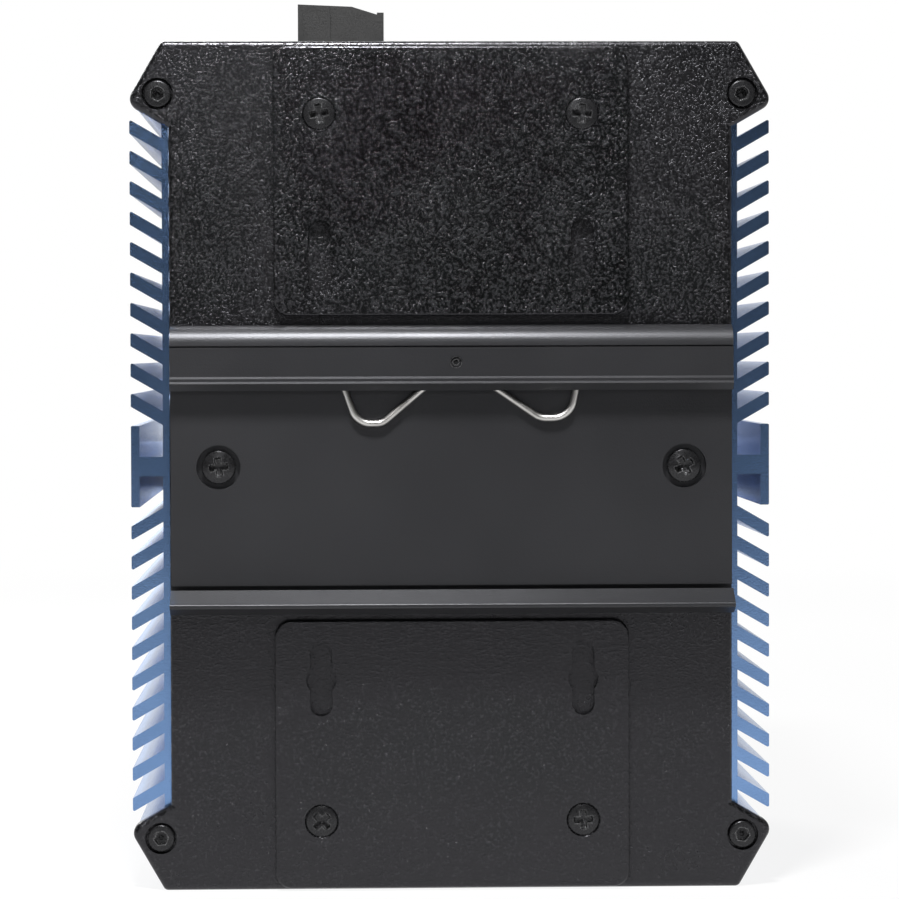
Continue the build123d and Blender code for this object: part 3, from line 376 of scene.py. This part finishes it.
def solid_piece(name, shells, finish, instead=(), sharp=35.0):
    """One piece from closed shells. A shell is rings by points by 3, with a flat face at each end.

    A shell whose volume comes out negative is turned, so that its faces point outwards.
    """
    points, faces, used = [], [], 0
    for rings in shells:
        count, around = rings.shape[:2]
        index = used + np.arange(count * around).reshape(count, around)
        across = np.roll(index, -1, axis=1)
        quads = np.stack([index[:-1], across[:-1], across[1:], index[1:]], axis=-1).reshape(-1, 4)
        first, last = index[0][::-1], index[-1]
        flat = rings.reshape(-1, 3)
        corner = flat[quads - used] - flat.mean(axis=0)
        volume = np.einsum("ij,ij->i", corner[:, 0], np.cross(corner[:, 1], corner[:, 2])).sum()
        volume += np.einsum("ij,ij->i", corner[:, 0], np.cross(corner[:, 2], corner[:, 3])).sum()
        ends = [first.tolist(), last.tolist()]
        if volume < 0:
            quads = quads[:, ::-1]
            ends = [end[::-1] for end in ends]
        points.append(flat)
        faces += quads.tolist() + ends
        used += len(flat)
    mesh = bpy.data.meshes.new(name)
    mesh.from_pydata(np.concatenate(points).tolist(), [], faces)
    mesh.polygons.foreach_set("use_smooth", [True] * len(mesh.polygons))
    mesh.set_sharp_from_angle(angle=math.radians(sharp))
    mesh.materials.append(finish)
    piece = bpy.data.objects.new(name, mesh)
    bpy.context.collection.objects.link(piece)
    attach(piece, "housing")
    if instead:
        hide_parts(*instead)


def out_of_face(rings, x, face, z, side, turn=0.0):
    """Turns a shape whose axis is its own z to look along side Y, and sets it in a face, in metres."""
    angle = math.radians(turn)
    across = rings[..., 0] * math.cos(angle) - rings[..., 1] * math.sin(angle)
    up = rings[..., 0] * math.sin(angle) + rings[..., 1] * math.cos(angle)
    placed = np.stack([x - side * across, face + side * rings[..., 2], middle_z + z + up], axis=-1)
    return placed / mm


def turned_screw(head, dome, head_height, shank, length, drive, around=84):
    """A turned screw, its axis along z, with the edge of its dome at 0.

    The profile goes over the head, down its side and along the shank. The head is a shallow dome,
    dome * (1 - (r / head) ** 2), with a rounded rim, less the depth of the drive where it is pressed in.
    The thread is a helix: the radius follows the cosine of the height in pitches less the turn.
    """
    turn = np.linspace(0.0, 2.0 * np.pi, around, endpoint=False)[None, :]
    whole = 0.0 * turn
    radius = np.concatenate([[0.03], np.linspace(0.1, head - rim_round, 30)])[:, None]
    top = dome * (1.0 - (radius / head) ** 2) + whole
    top = top - drive(radius * np.cos(turn), radius * np.sin(turn))
    rim_turn = np.linspace(0.0, 0.5 * np.pi, 7)[1:, None]
    rim_radius = head - rim_round + rim_round * np.sin(rim_turn)
    rim = dome * (1.0 - ((head - rim_round) / head) ** 2) - rim_round * (1.0 - np.cos(rim_turn))
    under = np.array([[head, -head_height], [shank, -head_height - 0.05]])
    steps = int((length - head_height) / thread_pitch * 5)
    down = np.linspace(-head_height - 0.3, -length + 0.3, steps)[:, None]
    thread = shank - thread_depth + thread_depth * np.cos(2.0 * np.pi * down / thread_pitch - turn)
    tip = np.array([[shank - 0.5, -length], [0.05, -length]])
    radii = np.concatenate([radius + whole, rim_radius + whole, under[:, :1] + whole, thread,
                            tip[:, :1] + whole])
    heights = np.concatenate([top, rim + whole, under[:, 1:] + whole, down + whole, tip[:, 1:] + whole])
    return np.stack([radii * np.cos(turn), radii * np.sin(turn), heights], axis=-1)


def smooth_rise(value, low, high):
    """0 below low, 1 above high and 3t^2 - 2t^3 between them."""
    part = np.clip((value - low) / (high - low), 0.0, 1.0)
    return part * part * (3.0 - 2.0 * part)


def cross_drive(width, reach, depth):
    """A cross recess: two slots whose walls lean in, deepest in the middle."""

    def slot(over, along):
        wide = smooth_rise(-np.abs(over), -width / 2 - 0.1, -width / 2 + 0.05)
        return wide * smooth_rise(-np.abs(along), -reach - 0.05, -reach + 0.3)

    def cut(u, v):
        return depth * np.maximum(slot(u, v), slot(v, u)) * (1.0 - 0.45 * np.hypot(u, v) / reach)

    return cut


def hex_drive(across, depth):
    """A hex socket: pressed in where the reach square to the nearest of six flats is under half its width."""

    def cut(u, v):
        turn = np.arctan2(v, u)
        sector = np.mod(turn, np.pi / 3.0) - np.pi / 6.0
        reach = np.hypot(u, v) * np.cos(sector)
        pressed = smooth_rise(-reach, -across / 2 - 0.04, -across / 2 + 0.04)
        return depth * pressed - 0.12 * smooth_rise(-reach, -0.5, 0.0)

    return cut


def screw_length(node, side, face):
    """How far a node's screws reach in from their face, in millimetres."""
    low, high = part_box(node)
    return face - low.y * mm if side > 0 else high.y * mm - face


def make_screws():
    """All the screws that show: four in each panel, four in the wall plates and two in the bracket."""
    steel = finishes["black_steel"]
    for name, side, face in (("back_panel_screws", 1, back_face), ("front_panel_screws", -1, front_face)):
        length = screw_length(name, side, face)
        ear = turned_screw(ear_head, ear_dome, ear_head_height, ear_shank, length, hex_drive(2.0, 1.14))
        shells = [out_of_face(ear, x, face - side * ear_dome, z, side, 17.0 * (n + 1))
                  for n, (x, z) in enumerate(ear_screws)]
        solid_piece(name + "_turned", shells, steel, (name,))
    length = screw_length("wall_plate_screws", 1, plate_face)
    flat = turned_screw(plate_head, plate_dome, plate_head_height, m3_shank, length, cross_drive(0.9, 1.6, 1.0))
    shells = [out_of_face(flat, x, plate_face - plate_head_sink, z, 1, turn) for x, z, turn in plate_screws]
    solid_piece("wall_plate_screws_turned", shells, steel, ("wall_plate_screws",))
    length = screw_length("bracket_screws", 1, bracket_seat) + bracket_head_height
    pan = turned_screw(bracket_head, bracket_dome, bracket_head_height, m3_shank, length,
                       cross_drive(0.9, 1.6, 1.2))
    face = bracket_seat + bracket_head_height
    shells = [out_of_face(pan, x, face, 0.0, 1, turn) for x, turn in bracket_screws]
    solid_piece("bracket_screws_turned", shells, steel, ("bracket_screws",))


def rounded_path(corners, radii, step=0.12):
    """Straight runs joined by arcs. An arc touches its runs at radius * tan(half the bend) from the corner."""
    corners = np.array(corners, dtype=float)
    points = [corners[0]]
    for before, here, after, radius in zip(corners[:-2], corners[1:-1], corners[2:], radii):
        way_in = (here - before) / np.linalg.norm(here - before)
        way_out = (after - here) / np.linalg.norm(after - here)
        bend = math.acos(np.clip(way_in @ way_out, -1.0, 1.0))
        left = 1.0 if way_in[0] * way_out[1] - way_in[1] * way_out[0] > 0 else -1.0
        begin = here - way_in * radius * math.tan(bend / 2)
        centre = begin + left * radius * np.array([-way_in[1], way_in[0]])
        count = max(4, int(radius * bend / step))
        swing = left * bend * np.linspace(0.0, 1.0, count)[:, None]
        arm = begin - centre
        points.append(centre + arm * np.cos(swing) + np.array([-arm[1], arm[0]]) * np.sin(swing))
    points.append(corners[-1])
    return np.vstack([np.atleast_2d(part) for part in points])


def make_spring():
    """The rail spring: a circle carried along the bent line, its radius drawn in at the two cut ends."""
    line = rounded_path(spring_corners, spring_bends)
    way = np.gradient(line, axis=0)
    way /= np.linalg.norm(way, axis=1)[:, None]
    side = np.stack([-way[:, 1], way[:, 0]], axis=1)
    turn = np.linspace(0.0, 2.0 * np.pi, 28, endpoint=False)
    radius = np.full(len(line), spring_radius)
    radius[[0, -1]] = spring_end_radius
    across = radius[:, None] * np.cos(turn)
    out = radius[:, None] * np.sin(turn)
    rings = np.stack([line[:, 0, None] + side[:, 0, None] * across, back_face + spring_rise + out,
                      middle_z + line[:, 1, None] + side[:, 1, None] * across], axis=-1)
    solid_piece("rail_spring_wire", [rings / mm], finishes["spring_wire"], ("rail_spring",), 60.0)


def strip(points, width, thick):
    """A flat strip: a box section with cut corners carried along points in x and y, its width along z."""
    points = np.array(points, dtype=float)
    way = np.gradient(points, axis=0)
    way /= np.linalg.norm(way, axis=1)[:, None]
    side = np.stack([-way[:, 1], way[:, 0]], axis=1)
    section = np.array([(-0.5, -0.35), (-0.35, -0.5), (0.35, -0.5), (0.5, -0.35), (0.5, 0.35), (0.35, 0.5),
                        (-0.35, 0.5), (-0.5, 0.35)]) * (thick, width)
    flat = points[:, None, :] + side[:, None, :] * section[None, :, :1]
    height = np.broadcast_to(section[None, :, 1:], (len(points), len(section), 1))
    return np.concatenate([flat, height], axis=-1)


def port_places(heights):
    """The side and height of each port with these heights, on both sides."""
    return [(side, z) for side in (-1, 1) for z in heights]


def jack_liner(inset):
    """The outline of the mouth and latch way, drawn in by inset: x from the middle of the panel, and z."""
    outer, base, notch = 37.2 - inset, 30.2 + inset, 27.6 + inset
    wide, narrow = 5.85 - inset, 3.1 - inset
    return np.array([(outer, -wide), (outer, wide), (base, wide), (base, narrow), (notch, narrow),
                     (notch, -narrow), (base, -narrow), (base, -wide)])


def make_jack_insides():
    """Liners, contacts and shield springs of the eight jacks.

    A liner is the outline of the mouth carried straight in, with a wall and a closed back. A contact is a
    strip that leaves the outer wall as a quarter sine wave, raised to 1.5. A shield spring is a strip that
    bulges into the mouth by half a sine wave.
    """
    liners, contacts, springs = [], [], []
    for side, z in port_places(jack_heights):
        rings = []
        for inset, depth in liner_rings:
            outline = jack_liner(inset)
            deep = np.full(len(outline), front_face + depth)
            rings.append(np.stack([side * outline[:, 0], deep, middle_z + z + outline[:, 1]], axis=-1))
        liners.append(np.array(rings) / mm)
        for n in range(8):
            run = np.linspace(0.0, 1.0, 12)
            y = front_face + 2.6 + 8.6 * run
            x = jack_contact_x - 3.2 * np.sin(0.5 * np.pi * run) ** 1.5
            wire = strip(np.stack([side * x, y], axis=1), *contact_size)
            wire[..., 2] += middle_z + z + contact_pitch * (n - 3.5)
            contacts.append(wire / mm)
        run = np.linspace(0.0, 1.0, 14)
        for wall in (-1, 1):
            for x in (32.2, 35.2):
                bulge = 5.68 - 0.5 * np.sin(np.pi * run)
                leaf = strip(np.stack([bulge, 0.15 + 6.5 * run], axis=1), *jack_spring_size)
                placed = np.stack([side * x + leaf[..., 2], front_face + leaf[..., 1],
                                   middle_z + z + wall * leaf[..., 0]], axis=-1)
                springs.append(placed / mm)
    solid_piece("jack_liners", liners, finishes["socket_plastic"])
    solid_piece("jack_contacts", contacts, gold)
    solid_piece("jack_shield_springs", springs, finishes["jack_shell"])


def make_cage_insides():
    """Spring fingers round the mouth of each cage, and the connector at its back.

    A finger is a strip that bulges into the mouth by half a sine wave. The connector is a block with a
    slot: rectangles of half width, half height and depth, joined in order.
    """
    fingers, blocks = [], []
    run = np.linspace(0.0, 1.0, 14)
    for side, z in port_places(cage_heights):
        for wall in (-1, 1):
            for x in (-3.1, 0.0, 3.1):
                bulge = 6.72 - 0.55 * np.sin(np.pi * run)
                leaf = strip(np.stack([bulge, 0.4 + 7.5 * run], axis=1), *short_finger_size)
                fingers.append(np.stack([side * cage_x + x + leaf[..., 2], cage_face + leaf[..., 1],
                                         middle_z + z + wall * leaf[..., 0]], axis=-1) / mm)
            for z_step in (-4.6, 0.0, 4.6):
                bulge = 4.52 - 0.5 * np.sin(np.pi * run)
                leaf = strip(np.stack([bulge, 0.4 + 7.5 * run], axis=1), *long_finger_size)
                fingers.append(np.stack([side * cage_x + wall * leaf[..., 0], cage_face + leaf[..., 1],
                                         middle_z + z + z_step + leaf[..., 2]], axis=-1) / mm)
        rings = [[(side * cage_x + u * wide, cage_face + depth, middle_z + z + v * high)
                  for u, v in ((-1, -1), (1, -1), (1, 1), (-1, 1))]
                 for wide, high, depth in cage_connector_rings]
        blocks.append(np.array(rings) / mm)
    solid_piece("cage_fingers", fingers, finishes["cage_sheet"])
    solid_piece("cage_connectors", blocks, finishes["socket_plastic"])


def make_lenses():
    """A clear lens on the end of each light pipe: a quarter-ellipse dome turned about its axis, on a collar."""
    turn = np.linspace(0.0, 2.0 * np.pi, 40, endpoint=False)[None, :]
    arc = np.linspace(0.5 * np.pi, 0.02, 12)[:, None]
    radii = np.vstack([[[lens_foot]], [[lens_collar]], [[lens_collar]], lens_dome * np.sin(arc)])
    heights = np.vstack([[[-lens_sink]], [[-lens_sink]], [[lens_collar_height]],
                         lens_collar_height + lens_rise * np.cos(arc)])
    lens = np.stack([radii * np.cos(turn), radii * np.sin(turn), heights + 0.0 * turn], axis=-1)
    places = [(side * lamp_x, z) for side, z in port_places(jack_heights + cage_heights)]
    shells = [out_of_face(lens, x, front_face, z, -1) for x, z in places + list(status_lamps)]
    solid_piece("port_lamp_lenses", shells, finishes["clear_pipe"], sharp=50.0)


gold = plated("contact_gold", (0.75, 0.5, 0.16, 1), (0.9, 0.66, 0.28, 1), 0.18, 0.3)
make_screws()
make_spring()
make_jack_insides()
make_cage_insides()
make_lenses()


def light_path(graph):
    """Three masks: seen by the camera, in a gloss, and through clear plastic."""
    kinds = ("Is Camera Ray", "Is Glossy Ray", "Is Transmission Ray")
    return [graph.node("LightPath", output=kind) for kind in kinds]


def make_world():
    """White where it is seen, and a soft grey as light.

    A gloss finds it white straight out from the front, dimmer round the sides and nearly dark at the rear.
    """
    world = bpy.data.worlds.new("studio")
    world.use_nodes = True
    air = Graph(world.node_tree)
    camera, glossy, clear = light_path(air)
    way = air.node("TexCoord", output="Generated")
    towards_rear = air.node("SeparateXYZ", {}, (way,), "Y")
    side_fall = 0.6 * air.step(towards_rear, -0.95, -0.6)
    gloss_level = 1.0 - side_fall - 0.35 * air.step(towards_rear, -0.1, 0.35)
    soft = (1.0 - glossy) * (1.0 - clear) * soft_light
    level = camera + (1.0 - camera) * (glossy * gloss_level + clear + soft)
    shade = air.node("Background", {}, {"Color": (1, 1, 1, 1), "Strength": level})
    out = world.node_tree.nodes.new("ShaderNodeOutputWorld")
    world.node_tree.links.new(shade.socket, out.inputs[0])
    bpy.context.scene.world = world


def make_floor():
    """A flat white floor that shows white and keeps the shadow, with a painted pool of light near the object:
    its colour and the white it gives a gloss fade to grey beyond half a metre.
    """
    half = floor_size / 2
    mesh = bpy.data.meshes.new("floor")
    corners = [(-half, -half, 0), (half, -half, 0), (half, half, 0), (-half, half, 0)]
    mesh.from_pydata(corners, [], [(0, 1, 2, 3)])
    floor = bpy.data.objects.new("floor", mesh)
    bpy.context.collection.objects.link(floor)
    paint = Finish("floor_paint", Roughness=0.6, Specular_IOR_Level=0.1)
    camera, glossy, clear = light_path(paint)
    away = paint.node("VectorMath", {"operation": "LENGTH"}, (paint.place(),), "Value")
    keep = paint.step(away, 0.15, 0.9, 0.88, 1.0)
    # Painted pool of light: within half a metre the floor is painted paler and glows white in a gloss, and
    # beyond it is greyer.
    painted_light_pool = paint.step(away, 0.5, 0.8, 1.0, 0.05)
    paint.wear(Base_Color=paint.tint(painted_light_pool, grey(0.25), grey(floor_white)))
    glow = camera + clear + glossy * painted_light_pool
    white = paint.node("Emission", {}, {"Color": (1, 1, 1, 1), "Strength": glow})
    lit = Value(paint, paint.shader.outputs[0])
    mixed = paint.node("MixShader", {}, (camera * keep + glossy + clear, lit, white))
    out = [n for n in paint.tree.nodes if n.type == "OUTPUT_MATERIAL"][0]
    paint.tree.links.new(mixed.socket, out.inputs[0])
    mesh.materials.append(paint.material)


def softbox(name, place, target, size, power):
    """One area lamp that faces the target."""
    lamp = bpy.data.lights.new(name, "AREA")
    lamp.shape = "SQUARE"
    lamp.size = size
    lamp.energy = power
    made = bpy.data.objects.new(name, lamp)
    made.location = place
    made.rotation_mode = "QUATERNION"
    made.rotation_quaternion = (Vector(target) - Vector(place)).to_track_quat("-Z", "Y")
    bpy.context.collection.objects.link(made)


def make_camera():
    """The camera at the photograph's place, with its small roll."""
    data = bpy.data.cameras.new("camera")
    data.lens = camera_lens
    data.sensor_width = 36.0
    data.clip_start = 0.05
    data.clip_end = 30.0
    camera = bpy.data.objects.new("camera", data)
    camera.location = camera_place
    camera.rotation_mode = "QUATERNION"
    aim = (camera_target - camera_place).to_track_quat("-Z", "Y")
    camera.rotation_quaternion = aim @ Quaternion((0, 0, 1), math.radians(camera_roll))
    bpy.context.collection.objects.link(camera)
    bpy.context.scene.camera = camera


make_world()
make_floor()
make_camera()
middle = (cad_low + cad_high) / 2
softbox("over_softbox", (0.03, 0.222, 0.385), (0.0, 0.05, 0.09), 0.055, 2.4)
softbox("camera_softbox", (0.06, 0.9, 0.35), middle, 0.1, 0.3)
softbox("front_softbox", (0.3, -0.8, 0.6), middle, 0.4, 9.0)
bpy.context.scene.view_settings.view_transform = "Standard"
